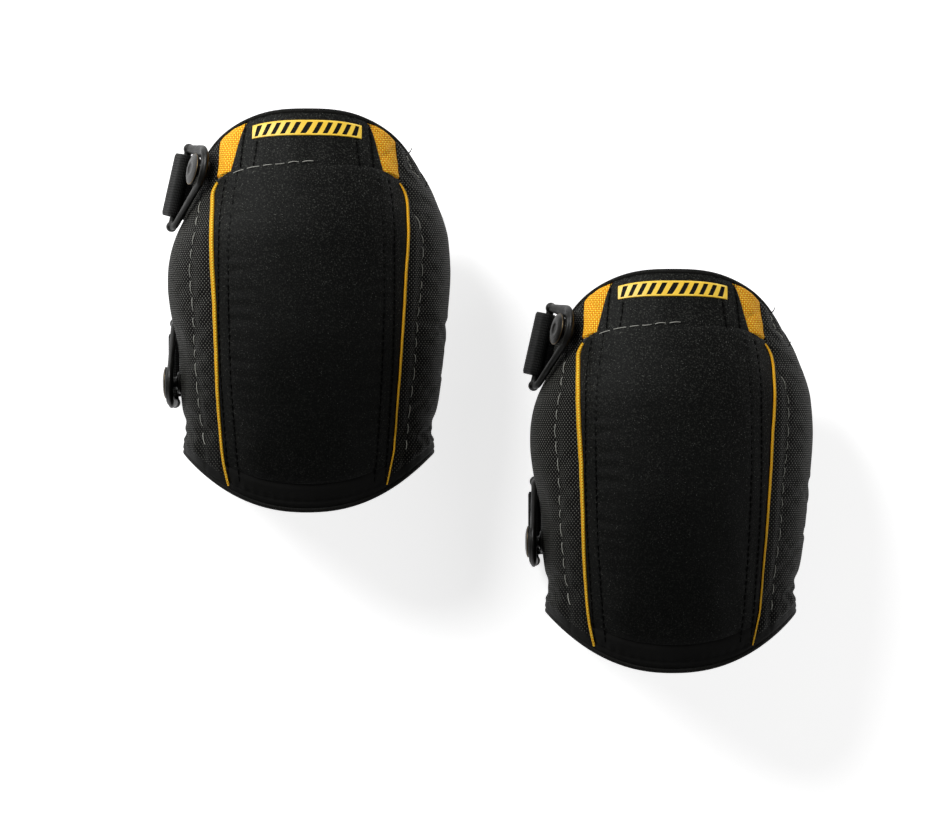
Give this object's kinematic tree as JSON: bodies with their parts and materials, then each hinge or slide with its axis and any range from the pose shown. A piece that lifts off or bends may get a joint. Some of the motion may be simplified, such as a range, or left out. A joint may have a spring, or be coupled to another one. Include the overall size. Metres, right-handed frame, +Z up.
{
  "type": "knee pads",
  "caption": "Pair of soft-cap strap-on knee pads with an arched foam shell, woven wings, yellow trim, stud-and-hook fasteners and elastic straps.",
  "frame": {"origin": "centre of the pair on the surface the pads lie on", "axes": "+X across the knees towards the strap-side wings, +Y towards the thigh, +Z up out of the caps; the pads lie on their backs"},
  "size_m": [0.3903, 0.3368, 0.1058],
  "materials": {
    "closed_cell_foam": "matte",
    "gel": "satin",
    "comfort_foam": "matte",
    "lining_knit": "matte",
    "coated_neoprene": "matte",
    "printed_label": "satin",
    "yellow_weave": "matte",
    "yellow_piping": "matte",
    "ballistic_weave": "satin",
    "binding_tape": "matte",
    "button_plastic": "satin",
    "clip_plastic": "satin",
    "elastic_webbing": "matte",
    "slider_plastic": "satin"
  },
  "bodies": {
    "left_pad": {"left_foam_core": "closed_cell_foam", "left_gel_insert": "gel", "left_comfort_foam": "comfort_foam", "left_lining": "lining_knit", "left_cap_panel": "coated_neoprene", "left_toe_hem": "coated_neoprene", "left_neck_panel": "coated_neoprene", "left_label": "printed_label", "left_button_side_gusset": "yellow_weave", "left_strap_side_gusset": "yellow_weave", "left_button_side_piping": "yellow_piping", "left_strap_side_piping": "yellow_piping", "left_button_wing": "ballistic_weave", "left_strap_wing": "ballistic_weave", "left_edge_binding": "binding_tape", "left_upper_button": "button_plastic", "left_lower_button": "button_plastic", "left_upper_strap": "elastic_webbing", "left_lower_strap": "elastic_webbing"},
    "left_upper_clip": {"left_upper_clip": "clip_plastic"},
    "left_lower_clip": {"left_lower_clip": "clip_plastic"},
    "left_upper_slider": {"left_upper_slider": "slider_plastic"},
    "left_lower_slider": {"left_lower_slider": "slider_plastic"},
    "right_pad": {"right_foam_core": "closed_cell_foam", "right_gel_insert": "gel", "right_comfort_foam": "comfort_foam", "right_lining": "lining_knit", "right_cap_panel": "coated_neoprene", "right_toe_hem": "coated_neoprene", "right_neck_panel": "coated_neoprene", "right_label": "printed_label", "right_button_side_gusset": "yellow_weave", "right_strap_side_gusset": "yellow_weave", "right_button_side_piping": "yellow_piping", "right_strap_side_piping": "yellow_piping", "right_button_wing": "ballistic_weave", "right_strap_wing": "ballistic_weave", "right_edge_binding": "binding_tape", "right_upper_button": "button_plastic", "right_lower_button": "button_plastic", "right_upper_strap": "elastic_webbing", "right_lower_strap": "elastic_webbing"},
    "right_upper_clip": {"right_upper_clip": "clip_plastic"},
    "right_lower_clip": {"right_lower_clip": "clip_plastic"},
    "right_upper_slider": {"right_upper_slider": "slider_plastic"},
    "right_lower_slider": {"right_lower_slider": "slider_plastic"}
  },
  "joints": [
    {"name": "right_pad_lift", "type": "slide", "parent": "left_pad", "child": "right_pad", "axis": [0, 0, 1], "range_m": [0, 0.15]},
    {"name": "left_upper_clip_swivel", "type": "hinge", "parent": "left_pad", "child": "left_upper_clip", "pos_m": [-0.16712, 0.13085, 0.05963], "axis": [-0.9171, 0.205, 0.342], "range_deg": [-8, 6], "stiffness_Nm_per_rad": 0.2, "deforming": ["left_upper_strap"]},
    {"name": "left_upper_slider_slide", "type": "slide", "parent": "left_pad", "child": "left_upper_slider", "axis": [-0.9759, 0.2181, 0], "range_m": [-0.01, 0.01], "deforming": ["left_upper_strap"]},
    {"name": "left_lower_clip_swivel", "type": "hinge", "parent": "left_pad", "child": "left_lower_clip", "pos_m": [-0.18338, 0.00485, 0.03692], "axis": [-0.9994, 0, -0.0349], "range_deg": [-8, 8], "stiffness_Nm_per_rad": 0.2, "deforming": ["left_lower_strap"]},
    {"name": "left_lower_slider_slide", "type": "slide", "parent": "left_pad", "child": "left_lower_slider", "axis": [-1, 0, 0], "range_m": [-0.01, 0.01], "deforming": ["left_lower_strap"]},
    {"name": "right_upper_clip_swivel", "type": "hinge", "parent": "right_pad", "child": "right_upper_clip", "pos_m": [0.05088, 0.03515, 0.05963], "axis": [-0.9171, 0.205, 0.342], "range_deg": [-8, 6], "stiffness_Nm_per_rad": 0.2, "deforming": ["right_upper_strap"]},
    {"name": "right_upper_slider_slide", "type": "slide", "parent": "right_pad", "child": "right_upper_slider", "axis": [-0.9759, 0.2181, 0], "range_m": [-0.01, 0.01], "deforming": ["right_upper_strap"]},
    {"name": "right_lower_clip_swivel", "type": "hinge", "parent": "right_pad", "child": "right_lower_clip", "pos_m": [0.03462, -0.09085, 0.03692], "axis": [-0.9994, 0, -0.0349], "range_deg": [-8, 8], "stiffness_Nm_per_rad": 0.2, "deforming": ["right_lower_strap"]},
    {"name": "right_lower_slider_slide", "type": "slide", "parent": "right_pad", "child": "right_lower_slider", "axis": [-1, 0, 0], "range_m": [-0.01, 0.01], "deforming": ["right_lower_strap"]}
  ]
}
